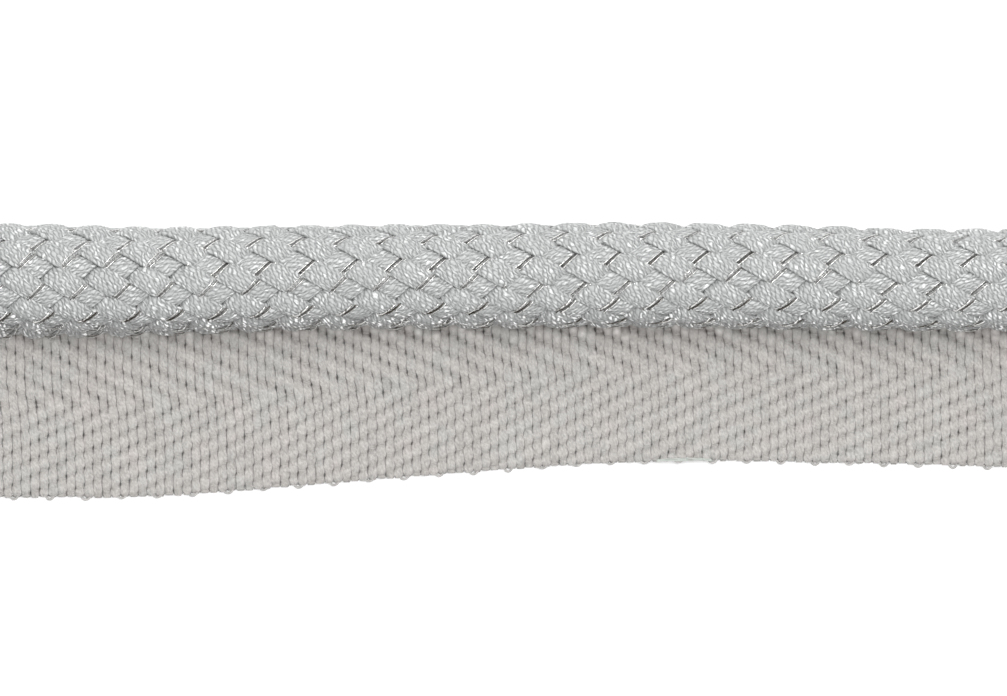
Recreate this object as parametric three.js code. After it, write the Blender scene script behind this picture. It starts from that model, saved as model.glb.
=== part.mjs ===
// Flanged cord: a round braided cord sewn down along one side of a flat woven tape.
// Millimetres. +X runs along the cord, +Y runs across from the tape to the cord and +Z is up
// from the surface that the tape lies on. The origin is at the middle of the footprint.
import * as THREE from 'three';

const { clamp, degToRad, lerp, smoothstep } = THREE.MathUtils;

// Cut length and the two tones
const LENGTH = 110;
const HALF_LENGTH = LENGTH / 2;
const CORD_COLOUR = 0xbdbfbe;
const TAPE_COLOUR = 0xb9b5b1;

// Tape: a sheet whose upper edge is tucked under the cord
const TAPE_THICKNESS = 1.0;
const TAPE_EDGE_THICKNESS = 0.75;
const TAPE_TUCK = 2.2; // how far the tape reaches past the cord's axis, underneath it
const TAPE_STEP = 2.5;
const TAPE_ROWS = [0, 0.03, 0.1, 0.3, 0.55, 0.8, 1]; // shares of the width, from the free edge
const TURNED_EDGE = { x: 17, halfLength: 6, depth: 0.1, lift: 0.5 }; // a short stretch that lifts

// Place of the cord
const AXIS_Y = 7.885;
const AXIS_HEIGHT = 5.9;
const SEWING_GAP = 0.3; // the cord's flat underside stands this far off the tape
const CORD_FLOOR = TAPE_THICKNESS + SEWING_GAP;

// Braid: plain interlacing, with the same number of strands in each of its two directions
const STRANDS = 10;
const REPEAT = 4.174; // from one float to the next in the same row
const REPEAT_GROWTH = 0.0047; // each repeat is this much longer than the one to its left
const PHASE = 0.394; // place of the first narrow float right of the middle, in repeats
const SKEW = 1.52; // how far the sewing pulls the braid's face along the cord
const END_FADE = 5; // the skew dies out over this length before each cut end
const ROW_ANGLE = 180 / STRANDS; // degrees from one row of floats to the next

// Floats: the broad strands lie outside and dip under the narrow ones. Heights are measured
// from the outside of the cord; widths are in strand spacings.
const BROAD = { top: 0, dip: 0.9, bulge: 0.5, halfWidth: 0.56, rise: [0.15, 0.75] };
const NARROW = { top: -0.24, dip: 0.75, bulge: 0.4, halfWidth: 0.44, rise: [0.1, 0.9] };
const DEEPEST = -0.65; // bottom of the small hollows between four strands

// Mesh of the cord: three samples to a strand in each direction, drawn towards its sides
const SAMPLES = 3;
const SIDE_SAMPLE = 0.42;
const RING_POINTS = STRANDS * SAMPLES;
const LAST_RING_GAP = 0.35;

// Foot: the side that is sewn down is squarer than a circle and spreads onto the tape
const FOOT_SQUARE = 0.14;
const FOOT_SQUARE_POWER = 1.5;
const FOOT_DEPTH = [0.2, 0.8];
const FOOT_SIDE = [0.05, 0.5];

// Course of the piece along X: how far the axis wanders, the cord's outer radius, how far its
// foot spreads, how far the braid is turned in degrees, and the tape's free edge from the axis
const COURSE = [
  { x: -55, axis: 0.10, radius: 5.08, foot: 1.40, turn: 10.5, edge: -20.95 },
  { x: -45, axis: 0.05, radius: 5.08, foot: 1.30, turn: 12.6, edge: -20.90 },
  { x: -36, axis: -0.10, radius: 5.00, foot: 1.00, turn: 15.0, edge: -20.85 },
  { x: -30, axis: -0.05, radius: 4.94, foot: 0.85, turn: 16.5, edge: -20.60 },
  { x: -20, axis: 0.14, radius: 4.89, foot: 0.67, turn: 18.5, edge: -19.80 },
  { x: -10, axis: 0.26, radius: 4.87, foot: 0.65, turn: 20.0, edge: -19.00 },
  { x: 0, axis: 0.26, radius: 4.87, foot: 0.60, turn: 22.5, edge: -18.25 },
  { x: 10, axis: 0.33, radius: 4.89, foot: 0.65, turn: 27.0, edge: -17.60 },
  { x: 20, axis: 0.24, radius: 4.89, foot: 0.60, turn: 30.0, edge: -17.35 },
  { x: 30, axis: 0.05, radius: 4.85, foot: 0.60, turn: 31.0, edge: -17.55 },
  { x: 40, axis: -0.17, radius: 4.78, foot: 0.45, turn: 32.0, edge: -17.75 },
  { x: 55, axis: -0.03, radius: 4.78, foot: 0.50, turn: 33.0, edge: -18.25 },
];

// A value of the course at any x, on a smooth curve through its rows
function course(name, x) {
  const last = COURSE.length - 1;
  const found = COURSE.findIndex((row) => row.x > x);
  const k = found < 0 ? last - 1 : Math.max(found - 1, 0);
  const slope = (n) => {
    const a = COURSE[Math.max(n - 1, 0)];
    const b = COURSE[Math.min(n + 1, last)];
    return (b[name] - a[name]) / (b.x - a.x);
  };
  const from = COURSE[k];
  const to = COURSE[k + 1];
  const run = to.x - from.x;
  const t = clamp((x - from.x) / run, 0, 1);
  const ease = t * t * (3 - 2 * t);
  const curve = slope(k) * t * (1 - t) ** 2 - slope(k + 1) * t * t * (1 - t);
  return lerp(from[name], to[name], ease) + curve * run;
}

// Repeats of the braid, counted from the middle, and the place along X that each stands at
function alongCord(repeats) {
  return REPEAT * repeats + REPEAT_GROWTH * repeats * repeats;
}

function repeatsAt(x) {
  return (Math.sqrt(REPEAT * REPEAT + 4 * REPEAT_GROWTH * x) - REPEAT) / (2 * REPEAT_GROWTH);
}

function endFade(x) {
  return smoothstep(HALF_LENGTH - Math.abs(x), 0, END_FADE);
}

// Strand numbers at a point of the cord's skin. A whole broad number is the middle of a broad
// strand and a whole narrow number the middle of a narrow one. Angles are from +Z towards +Y.
function strandsAt(x, degrees) {
  const level = x + SKEW * endFade(x) * Math.sin(degToRad(degrees));
  const across = 2 * (repeatsAt(level) - PHASE);
  const around = (degrees - course('turn', x)) / ROW_ANGLE;
  return { broad: (around + across) / 2, narrow: (around - across) / 2 };
}

// Height of one strand's surface, across it and along it between crossings
function strandHeight(form, offset, crossing) {
  const side = Math.min(Math.abs(offset) / form.halfWidth, 1);
  const crown = form.bulge * (1 - Math.sqrt(1 - side * side));
  const dip = form.dip * (1 - smoothstep(crossing, form.rise[0], form.rise[1]));
  return form.top - dip - crown;
}

// Distance from the nearest number of one parity: 0 on it and 1 halfway to the next
function fromParity(value, parity) {
  return Math.abs(value - parity - 2 * Math.round((value - parity) / 2));
}

function skinHeight(x, degrees) {
  const { broad, narrow } = strandsAt(x, degrees);
  const broadStrand = Math.round(broad);
  const narrowStrand = Math.round(narrow);
  const onBroad = fromParity(narrow + broadStrand, 0);
  const onNarrow = fromParity(broad + narrowStrand, 1);
  const broadTop = strandHeight(BROAD, broad - broadStrand, onBroad);
  const narrowTop = strandHeight(NARROW, narrow - narrowStrand, onNarrow);
  return Math.max(broadTop, narrowTop, DEEPEST);
}

// A point of the cord at a height above its outside, with the foot on the sewn side
function cordPoint(x, degrees, height) {
  const angle = degToRad(degrees);
  const radius = course('radius', x);
  const onFootSide = Math.sin(angle) < 0 && Math.cos(angle) < 0;
  const square = onFootSide ? FOOT_SQUARE * Math.abs(Math.sin(2 * angle)) ** FOOT_SQUARE_POWER : 0;
  const reach = (radius + height) * (1 + square);
  const y = reach * Math.sin(angle);
  const z = reach * Math.cos(angle);
  const depth = smoothstep(-z / radius, FOOT_DEPTH[0], FOOT_DEPTH[1]);
  const side = smoothstep(-y / radius, FOOT_SIDE[0], FOOT_SIDE[1]);
  const spread = course('foot', x) * depth * side;
  const axisY = AXIS_Y + course('axis', x);
  return new THREE.Vector3(x, axisY + y - spread, Math.max(AXIS_HEIGHT + z, CORD_FLOOR));
}

function geometryFrom(points, faces) {
  const geometry = new THREE.BufferGeometry();
  geometry.setFromPoints(points);
  geometry.setIndex(faces.flat());
  geometry.computeVertexNormals();
  return geometry;
}

// Rings of the cord, each turned half a point from the last, so that edges follow the strands
function cordRings() {
  const rings = [];
  const stepsPerRepeat = 2 * SAMPLES;
  const innermost = Math.ceil((repeatsAt(-HALF_LENGTH + LAST_RING_GAP) - PHASE) * stepsPerRepeat);
  const outermost = Math.floor((repeatsAt(HALF_LENGTH - LAST_RING_GAP) - PHASE) * stepsPerRepeat);
  rings.push({ end: -HALF_LENGTH, step: innermost - 1 });
  for (let step = innermost; step <= outermost; step += 1) {
    rings.push({ step });
  }
  rings.push({ end: HALF_LENGTH, step: outermost + 1 });
  return rings;
}

// A sample beside the middle of a strand moves out to the strand's side
function towardsSide(sample, fade) {
  const middle = Math.round(sample);
  const side = Math.sign(Math.round((sample - middle) * SAMPLES));
  return lerp(sample, middle + side * SIDE_SAMPLE, fade);
}

function ringPoint(ring, number) {
  const half = Math.abs(ring.step) % 2;
  const around = (2 * number + half) / SAMPLES;
  if (ring.end !== undefined) {
    const degrees = course('turn', ring.end) + ROW_ANGLE * around;
    return cordPoint(ring.end, degrees, skinHeight(ring.end, degrees));
  }
  const across = ring.step / SAMPLES;
  const fade = endFade(alongCord(across / 2 + PHASE));
  const broad = towardsSide((around + across) / 2, fade);
  const narrow = towardsSide((around - across) / 2, fade);
  const level = alongCord((broad - narrow) / 2 + PHASE);
  const degrees = course('turn', level) + ROW_ANGLE * (broad + narrow);
  const x = level - SKEW * endFade(level) * Math.sin(degToRad(degrees));
  return cordPoint(x, degrees, skinHeight(x, degrees));
}

function cordGeometry() {
  const rings = cordRings();
  const points = [];
  const faces = [];
  for (const ring of rings) {
    for (let number = 0; number < RING_POINTS; number += 1) {
      points.push(ringPoint(ring, number));
    }
  }
  const at = (ring, number) => ring * RING_POINTS + (number % RING_POINTS);
  for (let k = 0; k < rings.length - 1; k += 1) {
    const lead = Math.abs(rings[k].step) % 2;
    for (let n = 0; n < RING_POINTS; n += 1) {
      if (lead === 0) {
        faces.push([at(k, n), at(k + 1, n), at(k, n + 1)]);
        faces.push([at(k, n + 1), at(k + 1, n), at(k + 1, n + 1)]);
      } else {
        faces.push([at(k, n), at(k + 1, n + 1), at(k, n + 1)]);
        faces.push([at(k, n), at(k + 1, n), at(k + 1, n + 1)]);
      }
    }
  }
  const lastRing = rings.length - 1;
  const leftMiddle = points.push(endMiddle(-HALF_LENGTH)) - 1;
  const rightMiddle = points.push(endMiddle(HALF_LENGTH)) - 1;
  for (let n = 0; n < RING_POINTS; n += 1) {
    faces.push([leftMiddle, at(0, n), at(0, n + 1)]);
    faces.push([rightMiddle, at(lastRing, n + 1), at(lastRing, n)]);
  }
  return geometryFrom(points, faces);
}

function endMiddle(x) {
  return new THREE.Vector3(x, AXIS_Y + course('axis', x), AXIS_HEIGHT);
}

// How far the free edge lifts off the surface: only along one short stretch
function edgeLift(x, share) {
  const along = 1 - smoothstep(Math.abs(x - TURNED_EDGE.x), 0, TURNED_EDGE.halfLength);
  return TURNED_EDGE.lift * along * (1 - smoothstep(share, 0, TURNED_EDGE.depth));
}

function tapePoint(x, share, onTop) {
  const y = AXIS_Y + lerp(course('edge', x), TAPE_TUCK, share);
  const thickness = share === 0 ? TAPE_EDGE_THICKNESS : TAPE_THICKNESS;
  return new THREE.Vector3(x, y, edgeLift(x, share) + (onTop ? thickness : 0));
}

function tapeGeometry() {
  const columns = LENGTH / TAPE_STEP;
  const rows = TAPE_ROWS.length - 1;
  const points = [];
  const faces = [];
  for (const onTop of [false, true]) {
    for (const share of TAPE_ROWS) {
      for (let c = 0; c <= columns; c += 1) {
        points.push(tapePoint(c * TAPE_STEP - HALF_LENGTH, share, onTop));
      }
    }
  }
  const at = (c, r, side) => (side * (rows + 1) + r) * (columns + 1) + c;
  const quad = (a, b, c, d) => faces.push([a, b, c], [a, c, d]);
  for (let c = 0; c < columns; c += 1) {
    for (let r = 0; r < rows; r += 1) {
      quad(at(c, r, 1), at(c + 1, r, 1), at(c + 1, r + 1, 1), at(c, r + 1, 1));
      quad(at(c, r, 0), at(c, r + 1, 0), at(c + 1, r + 1, 0), at(c + 1, r, 0));
    }
    quad(at(c, 0, 0), at(c + 1, 0, 0), at(c + 1, 0, 1), at(c, 0, 1));
    quad(at(c + 1, rows, 0), at(c, rows, 0), at(c, rows, 1), at(c + 1, rows, 1));
  }
  for (let r = 0; r < rows; r += 1) {
    quad(at(0, r + 1, 0), at(0, r, 0), at(0, r, 1), at(0, r + 1, 1));
    quad(at(columns, r, 0), at(columns, r + 1, 0), at(columns, r + 1, 1), at(columns, r, 1));
  }
  return geometryFrom(points, faces);
}

function cloth(colour) {
  return new THREE.MeshStandardMaterial({ color: colour, roughness: 0.7, metalness: 0 });
}

function piece(name, geometry, colour) {
  const mesh = new THREE.Mesh(geometry, cloth(colour));
  mesh.name = name;
  return mesh;
}

const flangedCord = new THREE.Group();
flangedCord.add(piece('braided_cord', cordGeometry(), CORD_COLOUR));
flangedCord.add(piece('flange_tape', tapeGeometry(), TAPE_COLOUR));

export default flangedCord;
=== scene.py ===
# Looks of the flanged cord: the braid's strands and yarns, the foil threads in it and the woven
# tape. Sizes are in millimetres until a mesh is made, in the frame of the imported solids: +X along
# the cord, +Y from the tape to the cord and +Z up from the surface under the tape.
import math

import bpy
import numpy as np
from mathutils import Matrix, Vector


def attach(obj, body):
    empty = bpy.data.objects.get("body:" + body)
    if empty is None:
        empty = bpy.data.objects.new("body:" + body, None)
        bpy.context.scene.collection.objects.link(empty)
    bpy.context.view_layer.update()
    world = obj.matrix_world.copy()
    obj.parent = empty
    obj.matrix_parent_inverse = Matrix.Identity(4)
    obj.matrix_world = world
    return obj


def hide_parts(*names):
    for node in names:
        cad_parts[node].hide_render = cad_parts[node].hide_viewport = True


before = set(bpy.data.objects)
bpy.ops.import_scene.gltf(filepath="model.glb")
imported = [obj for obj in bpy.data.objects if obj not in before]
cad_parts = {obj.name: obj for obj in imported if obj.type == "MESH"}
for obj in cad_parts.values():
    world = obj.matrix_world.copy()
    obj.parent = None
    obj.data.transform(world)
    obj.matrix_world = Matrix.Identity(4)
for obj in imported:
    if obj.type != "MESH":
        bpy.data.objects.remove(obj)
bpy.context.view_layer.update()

MM = 0.001
BODY = "root"

# Cut length, and the tape as the solids have it
LENGTH = 110.0
HALF_LENGTH = LENGTH / 2
TAPE_THICKNESS = 1.0
TAPE_EDGE_THICKNESS = 0.75
TAPE_TUCK = 2.2  # past the cord's axis
TURNED_EDGE_X = 17.0
TURNED_EDGE_HALF = 6.0
TURNED_EDGE_DEPTH = 0.1
TURNED_EDGE_LIFT = 0.5

# Place of the cord
AXIS_Y = 7.885
TAPE_TOP_EDGE = AXIS_Y + TAPE_TUCK
AXIS_HEIGHT = 5.9
CORD_FLOOR = 1.12
FLOOR_SQUEEZE = 0.12  # share left of what would reach below its flat underside

# Braid
STRANDS = 10
REPEAT = 4.174
REPEAT_GROWTH = 0.0047
PHASE = 0.394
SKEW = 1.52
END_FADE = 5.0
ROW_ANGLE = 180.0 / STRANDS
ANGLE_PASSES = 12

# Foot of the cord, where it is sewn down
FOOT_SQUARE = 0.14
FOOT_SQUARE_POWER = 1.5
FOOT_DEPTH = (0.2, 0.8)
FOOT_SIDE = (0.05, 0.5)

# Course of the piece along X, a row for each place: how far the axis wanders, the outer radius,
# how far the foot spreads, the turn of the braid in degrees, and the free edge from the axis
COURSE_ROWS = (
    (-55, 0.10, 5.08, 1.40, 10.5, -20.95),
    (-45, 0.05, 5.08, 1.30, 12.6, -20.90),
    (-36, -0.10, 5.00, 1.00, 15.0, -20.85),
    (-30, -0.05, 4.94, 0.85, 16.5, -20.60),
    (-20, 0.14, 4.89, 0.67, 18.5, -19.80),
    (-10, 0.26, 4.87, 0.65, 20.0, -19.00),
    (0, 0.26, 4.87, 0.60, 22.5, -18.25),
    (10, 0.33, 4.89, 0.65, 27.0, -17.60),
    (20, 0.24, 4.89, 0.60, 30.0, -17.35),
    (30, 0.05, 4.85, 0.60, 31.0, -17.55),
    (40, -0.17, 4.78, 0.45, 32.0, -17.75),
    (55, -0.03, 4.78, 0.50, 33.0, -18.25),
)
COURSE_NAMES = ("x", "axis", "radius", "foot", "turn", "edge")
COURSE = dict(zip(COURSE_NAMES, np.array(COURSE_ROWS, float).T))


def smoothstep(value, low, high):
    t = np.clip((value - low) / (high - low), 0, 1)
    return t * t * (3 - 2 * t)


def band(value, start, end):
    """One between two spans of values."""
    return smoothstep(value, *start) * (1 - smoothstep(value, *end))


def places_along(step, reach=HALF_LENGTH):
    return np.linspace(-reach, reach, round(2 * reach / step) + 1)


def turns_round(count):
    return np.linspace(0, 2 * math.pi, count, endpoint=False)


def course(name, x):
    """A value of the course at any x, on a smooth curve through its rows."""
    places = COURSE["x"]
    values = COURSE[name]
    x = np.asarray(x, float)
    before = np.maximum(np.arange(len(places)) - 1, 0)
    after = np.minimum(np.arange(len(places)) + 1, len(places) - 1)
    slopes = (values[after] - values[before]) / (places[after] - places[before])
    k = np.clip(np.searchsorted(places, x, side="right") - 1, 0, len(places) - 2)
    run = places[k + 1] - places[k]
    t = np.clip((x - places[k]) / run, 0, 1)
    ease = t * t * (3 - 2 * t)
    curve = slopes[k] * t * (1 - t) ** 2 - slopes[k + 1] * t * t * (1 - t)
    return values[k] + (values[k + 1] - values[k]) * ease + curve * run


def repeats_at(x):
    root = np.sqrt(REPEAT * REPEAT + 4 * REPEAT_GROWTH * x)
    return (root - REPEAT) / (2 * REPEAT_GROWTH)


def end_fade(x):
    return smoothstep(HALF_LENGTH - np.abs(x), 0, END_FADE)


def vectors(*parts):
    """Vectors from their parts, which may differ in shape."""
    return np.stack(np.broadcast_arrays(*parts), axis=-1)


def past_parity(value, parity):
    """Distance past the nearest number that is even (parity 0) or odd (parity 1)."""
    return value - parity - 2 * np.round((value - parity) / 2)


def below_top(degrees):
    """Degrees from the cord's top towards the sewn side, from -180 to 180."""
    return (180 - degrees) % 360 - 180


def cord_point(x, degrees, height):
    """A point of the cord at a height above its outside, with the foot on the sewn side."""
    angle = np.radians(degrees)
    radius = course("radius", x)
    sewn_side = (np.sin(angle) < 0) & (np.cos(angle) < 0)
    squareness = FOOT_SQUARE * np.abs(np.sin(2 * angle)) ** FOOT_SQUARE_POWER
    reach = (radius + height) * (1 + np.where(sewn_side, squareness, 0))
    y = reach * np.sin(angle)
    z = reach * np.cos(angle)
    depth = smoothstep(-z / radius, *FOOT_DEPTH)
    side = smoothstep(-y / radius, *FOOT_SIDE)
    y = y - course("foot", x) * depth * side
    above = AXIS_HEIGHT + z - CORD_FLOOR
    z = CORD_FLOOR + np.where(above < 0, above * FLOOR_SQUEEZE, above)
    return vectors(x, AXIS_Y + course("axis", x) + y, z)


# Meshes of tubes: rings[tube, section, point] are closed sections, drawn one after another

UV_MARGIN = 0.04  # share of each strip of the map that stays empty


def end_faces(points, under):
    """Triangles across a closed end, between the points above and the last ones, below."""
    above = points - under
    found = []
    i = j = 0
    while i < above - 1 or j < under - 1:
        if j == under - 1 or (i < above - 1 and (i + 1) / above <= (j + 1) / under):
            found.append((i, i + 1, points - 1 - j))
            i += 1
        else:
            found.append((i, points - 2 - j, points - 1 - j))
            j += 1
    return np.array(found)


def tube_faces(tubes, sections, points, under):
    """Faces of the walls and the two closed ends, for tubes of equal count."""
    ring = np.arange(points)
    following = (ring + 1) % points
    first = np.arange(tubes)[:, None, None] * sections * points
    row = first + np.arange(sections - 1)[None, :, None] * points
    walls = [row + ring, row + points + ring, row + points + following, row + following]
    quads = np.stack(walls, axis=-1).reshape(-1, 4)
    end = end_faces(points, under)
    ends = [first + end, first + (sections - 1) * points + end[:, ::-1]]
    tris = np.concatenate(ends, axis=1).reshape(-1, 3)
    return quads, tris


def strip_map(tubes, sections, points, rows, columns):
    """Places on the unit square for the corners of the quads.

    A long tube is folded into rows, and short tubes lie side by side in columns.
    """
    steps = math.ceil((sections - 1) / rows)
    lanes = math.ceil(tubes / columns)
    section = np.arange(sections - 1)[None, :, None]
    point = np.arange(points)[None, None, :]
    tube = np.arange(tubes)[:, None, None]
    strip = (section // steps) * lanes + tube // columns
    keep = 1 - UV_MARGIN
    corners = []
    for along, around in ((0, 0), (1, 0), (1, 1), (0, 1)):
        u = (tube % columns + (section % steps + along) / steps * keep) / columns
        v = (strip + (point + around) / points * keep) / (rows * lanes)
        corners.append(vectors(u, v))
    return np.stack(corners, axis=-2).reshape(-1, 2)


def add_object(name, data, place=(0, 0, 0)):
    added = bpy.data.objects.new(name, data)
    bpy.context.scene.collection.objects.link(added)
    added.location = place
    return added


def mesh_object(name, points, quads, tris, material):
    mesh = bpy.data.meshes.new(name)
    loops = np.concatenate([quads.ravel(), tris.ravel()]).astype(np.int32)
    wall_starts = np.arange(len(quads)) * 4
    end_starts = len(quads) * 4 + np.arange(len(tris)) * 3
    starts = np.concatenate([wall_starts, end_starts]).astype(np.int32)
    mesh.vertices.add(len(points))
    mesh.vertices.foreach_set("co", (points * MM).astype(np.float32).ravel())
    mesh.loops.add(len(loops))
    mesh.loops.foreach_set("vertex_index", loops)
    mesh.polygons.add(len(starts))
    mesh.polygons.foreach_set("loop_start", starts)
    mesh.update(calc_edges=True)
    flat = np.zeros(len(starts), bool)
    flat[len(quads):] = True
    sharp = mesh.attributes.new("sharp_face", "BOOLEAN", "FACE")
    sharp.data.foreach_set("value", flat)
    mesh.materials.append(material)
    return add_object(name, mesh)


def tube_object(
    name, rings, material, thread=None, lie=None, map_rows=1, map_columns=1, under=None
):
    """One mesh of tubes. thread and lie hold, for each point, what the yarn's nodes read."""
    tubes, sections, points = rings.shape[:3]
    quads, tris = tube_faces(tubes, sections, points, under or points // 2)
    piece = mesh_object(name, rings.reshape(-1, 3), quads, tris, material)
    mesh = piece.data
    for key, value in (("thread", thread), ("lie", lie)):
        if value is not None:
            values = np.broadcast_to(value, rings.shape).astype(np.float32)
            attribute = mesh.attributes.new(key, "FLOAT_VECTOR", "POINT")
            attribute.data.foreach_set("vector", values.ravel())
    places = strip_map(tubes, sections, points, map_rows, map_columns)
    end_corner = np.array([[1 - UV_MARGIN / 4, 1 - UV_MARGIN / 4]])
    spread = np.array([[0.0, 0.0], [UV_MARGIN / 8, 0.0], [0.0, UV_MARGIN / 8]])
    end_places = np.tile(end_corner + spread, (len(tris), 1))
    layer = mesh.uv_layers.new(name="OFBake")
    layer.uv.foreach_set("vector", np.concatenate([places, end_places]).astype(np.float32).ravel())
    return piece


# Procedural materials


class Nodes:
    """Short names for making the nodes of a material or the world, and joining them."""

    def __init__(self, name, kind="materials", shader="Principled BSDF"):
        self.owner = getattr(bpy.data, kind).new(name)
        self.owner.use_nodes = True
        self.tree = self.owner.node_tree
        self.shader = self.tree.nodes[shader]

    def put(self, socket, value):
        if isinstance(value, bpy.types.NodeSocket):
            self.tree.links.new(value, socket)
        else:
            socket.default_value = value

    def node(self, kind, inputs=(), **settings):
        made = self.tree.nodes.new(kind)
        for key, value in settings.items():
            setattr(made, key, value)
        for key, value in dict(inputs).items():
            self.put(made.inputs[key], value)
        return made

    def math(self, operation, *values):
        return self.node("ShaderNodeMath", enumerate(values), operation=operation).outputs[0]

    def product(self, value, *others):
        for other in others:
            value = self.math("MULTIPLY", value, other)
        return value

    def total(self, value, *others):
        for other in others:
            value = self.math("ADD", value, other)
        return value

    def hump(self, share):
        """None at 0 and at 1, and one half way."""
        return self.math("SINE", self.product(share, math.pi))

    def vector(self, x, y, z):
        return self.node("ShaderNodeCombineXYZ", {"X": x, "Y": y, "Z": z}).outputs[0]

    def split(self, vector):
        parts = self.node("ShaderNodeSeparateXYZ", {"Vector": vector}).outputs
        return parts["X"], parts["Y"], parts["Z"]

    def read(self, name="thread"):
        return self.split(self.node("ShaderNodeAttribute", attribute_name=name).outputs["Vector"])

    def place(self):
        return self.node("ShaderNodeTexCoord").outputs["Object"]

    def noise(self, vector, scale, detail=2.0, roughness=0.5):
        inputs = {"Vector": vector, "Scale": scale, "Detail": detail, "Roughness": roughness}
        return self.node("ShaderNodeTexNoise", inputs).outputs["Fac"]

    def chance(self, x, y, z):
        """A random value for each set of the three."""
        inputs = {"Vector": self.vector(x, y, z)}
        return self.node("ShaderNodeTexWhiteNoise", inputs, noise_dimensions="3D").outputs["Value"]

    def span(self, value, from_low, from_high, to_low, to_high):
        """The value moved from one span to another, and kept inside it."""
        inputs = dict(enumerate((value, from_low, from_high, to_low, to_high)))
        return self.node("ShaderNodeMapRange", inputs).outputs[0]

    def blend(self, share, first, second, kind="MIX"):
        made = self.node("ShaderNodeMix", data_type="RGBA", blend_type=kind)
        self.put(made.inputs["Factor"], share)
        self.put(made.inputs[6], first)
        self.put(made.inputs[7], second)
        return made.outputs[2]

    def bump(self, height, distance, strength=1.0):
        inputs = {"Height": height, "Distance": distance * MM, "Strength": strength}
        self.put(self.shader.inputs["Normal"], self.node("ShaderNodeBump", inputs).outputs[0])

    def finish(self, **inputs):
        for key, value in inputs.items():
            self.put(self.shader.inputs[key.replace("_", " ")], value)
        return self.owner


def grey(level, warmth=0.0):
    return (level * (1 + warmth), level, level * (1 - warmth), 1.0)


# Braid yarn: two plies, twisted. Where a ply passes over its yarn, a bright dash is painted on as
# its highlight.
PLY_STEP = 0.64  # along the yarn, from one ply to the next
PLY_LEAN = (1.0, 0.6)  # plies passed across a yarn, at a float's lower end and its upper
PLY_RELIEF = 0.09
PLY_SWAY = 1.8
SWAY_SCALE = 0.8  # swayings for each mm
YARN_BEND = 2.1  # how far the yarns wander across their strand, in yarns
BEND_ALONG = 1.3  # wanderings for each mm
BEND_ACROSS = 0.7  # and for each yarn
FIBRE_ALONG = 0.9
FIBRE_ACROSS = 5.0  # for each ply
CREST_SHARE = 0.85  # of the relief
FIBRE_SHARE = 0.35
SPECK_SCALE = 1500.0  # for each metre
DASH_LOW_START = 0.13  # low on the sewn side, the painted highlight dashes fill what is past this
DASH_LOW_GROWTH = 0.72  # and are full so much sooner
GAP_DARKNESS = 0.85
LOW_DARKNESS = 0.3  # painted shade between the dashes, low on the sewn side
YARN_VALLEY_SHADE = (0.10, 0.104, 0.102, 1)
YARN_PLAIN = (0.38, 0.39, 0.387, 1)
YARN_HIGHLIGHT = (0.82, 0.83, 0.828, 1)
YARN_HIGHLIGHT_LOW = (0.96, 0.965, 0.96, 1)
YARN_SHADOW = (0.05, 0.05, 0.048, 1)
YARN_GAP_SHADE = (0.06, 0.058, 0.054, 1)
YARN_ROUGHNESS = (0.24, 0.42)


def yarn_material():
    n = Nodes("braid_yarn")
    along, across, strand = n.read()
    gap, on_float, low = n.read("lie")

    # The yarn that a point lies in, and the ply
    bend_place = n.vector(n.product(along, BEND_ALONG), n.product(across, BEND_ACROSS), strand)
    bend = n.noise(bend_place, 1.0)
    across = n.total(across, n.product(n.math("SUBTRACT", bend, 0.5), YARN_BEND))
    number = n.math("FLOOR", across)
    within = n.math("FRACT", across)
    turns = n.math("DIVIDE", along, PLY_STEP)
    lean = n.product(within, n.span(on_float, -0.6, 0.6, *PLY_LEAN))
    sway = n.noise(n.vector(n.product(along, SWAY_SCALE), n.total(number, 0.5), strand), 1.0)
    shift = n.chance(number, strand, 0.5)
    ply = n.total(turns, lean, n.total(shift, n.product(sway, PLY_SWAY)))
    tone = n.chance(number, n.math("FLOOR", ply), strand)

    # Relief
    crest = n.math("ABSOLUTE", n.hump(ply))
    middle = n.hump(within)
    fibre_place = n.vector(n.product(along, FIBRE_ALONG), n.product(ply, FIBRE_ACROSS), strand)
    fibre = n.noise(fibre_place, 1.6, 3.0, 0.6)
    raised = n.product(crest, n.span(tone, 0, 1, 0.5, 1))
    n.bump(n.total(n.product(raised, CREST_SHARE), n.product(fibre, FIBRE_SHARE)), PLY_RELIEF)

    # Painted highlights as bright dashes on a plain ground, brighter low on the sewn side, and
    # painted shade in the grooves, low on the sewn side and in the gaps
    highlight_dash = n.product(
        n.span(crest, 0.45, 1.0, 0, 1),
        n.span(middle, 0.3, 0.95, 0, 1),
        n.span(fibre, 0.3, 0.65, 0.4, 1),
        n.span(tone, 0.1, 0.9, 0.1, 1.1),
        n.span(n.noise(n.place(), SPECK_SCALE, 2.0), 0.38, 0.6, 0.15, 1.1),
    )
    full = n.math("SUBTRACT", 1.0, n.product(low, DASH_LOW_GROWTH))
    highlight_dash = n.span(highlight_dash, n.product(low, DASH_LOW_START), full, 0, 1)
    # Painted shade in the grooves between the plies and between the yarns
    valley_shade = n.product(n.span(crest, 0.0, 0.7, 0.35, 1), n.span(middle, 0.0, 0.6, 0.65, 1))
    plain = n.blend(valley_shade, YARN_VALLEY_SHADE, YARN_PLAIN)
    # Painted shade between the dashes, low on the sewn side
    plain = n.blend(n.product(low, LOW_DARKNESS), plain, YARN_SHADOW)
    # Painted highlight dashes, brighter low on the sewn side
    colour = n.blend(highlight_dash, plain, n.blend(low, YARN_HIGHLIGHT, YARN_HIGHLIGHT_LOW))
    # Painted shade where a strand meets one that crosses it
    shade = n.product(gap, n.span(fibre, 0.3, 0.6, GAP_DARKNESS, 0.75 * GAP_DARKNESS))
    colour = n.blend(shade, colour, YARN_GAP_SHADE)
    roughness = n.span(fibre, 0.3, 0.7, *YARN_ROUGHNESS)
    return n.finish(Base_Color=colour, Roughness=roughness, Sheen_Weight=0.1)


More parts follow.
